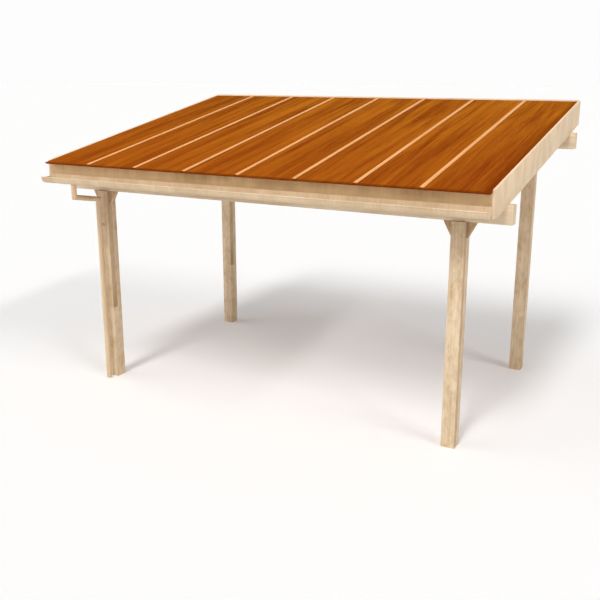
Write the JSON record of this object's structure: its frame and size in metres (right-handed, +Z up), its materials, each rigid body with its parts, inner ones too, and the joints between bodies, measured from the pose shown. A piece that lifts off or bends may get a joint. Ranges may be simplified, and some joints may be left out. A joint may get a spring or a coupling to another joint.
{
  "type": "wooden canopy",
  "caption": "Open-sided wooden canopy on square posts: a single-pitch roof of brown panels with pale cover strips, and a half-round front gutter with a downpipe.",
  "frame": {"origin": "on the ground, under the middle of the whole plan", "axes": "+X to the right along the gutter, +Y to the high back edge, +Z up"},
  "size_m": [5.124, 3.482, 3.1914],
  "materials": {
    "timber": "pale laminated softwood, satin",
    "roof_panel": "red-brown stained boards, satin",
    "cover_strip": "pale planed softwood, satin",
    "gutter": "pale wood-look trough and pipe, satin"
  },
  "bodies": {
    "root": {"post_front_left": "timber", "post_front_right": "timber", "post_back_left": "timber", "post_back_right": "timber", "beam_front": "timber", "beam_back": "timber", "brace_front_left_outer": "timber", "brace_front_left_inner": "timber", "brace_front_right_outer": "timber", "brace_front_right_inner": "timber", "brace_back_left_outer": "timber", "brace_back_left_inner": "timber", "brace_back_right_outer": "timber", "brace_back_right_inner": "timber", "rafter_1": "timber", "rafter_2": "timber", "rafter_3": "timber", "rafter_4": "timber", "rafter_5": "timber", "rafter_6": "timber", "rafter_7": "timber", "side_board_left": "timber", "side_board_right": "timber", "fascia": "timber", "back_board": "timber", "roof_panel_1": "roof_panel", "roof_panel_2": "roof_panel", "roof_panel_3": "roof_panel", "roof_panel_4": "roof_panel", "roof_panel_5": "roof_panel", "roof_panel_6": "roof_panel", "roof_panel_7": "roof_panel", "roof_panel_8": "roof_panel", "cover_strip_1": "cover_strip", "cover_strip_2": "cover_strip", "cover_strip_3": "cover_strip", "cover_strip_4": "cover_strip", "cover_strip_5": "cover_strip", "cover_strip_6": "cover_strip", "cover_strip_7": "cover_strip", "gutter": "gutter", "downpipe_outlet": "gutter", "downpipe_offset": "gutter", "downpipe_drop": "gutter", "pipe_clips": "gutter"}
  },
  "joints": []
}
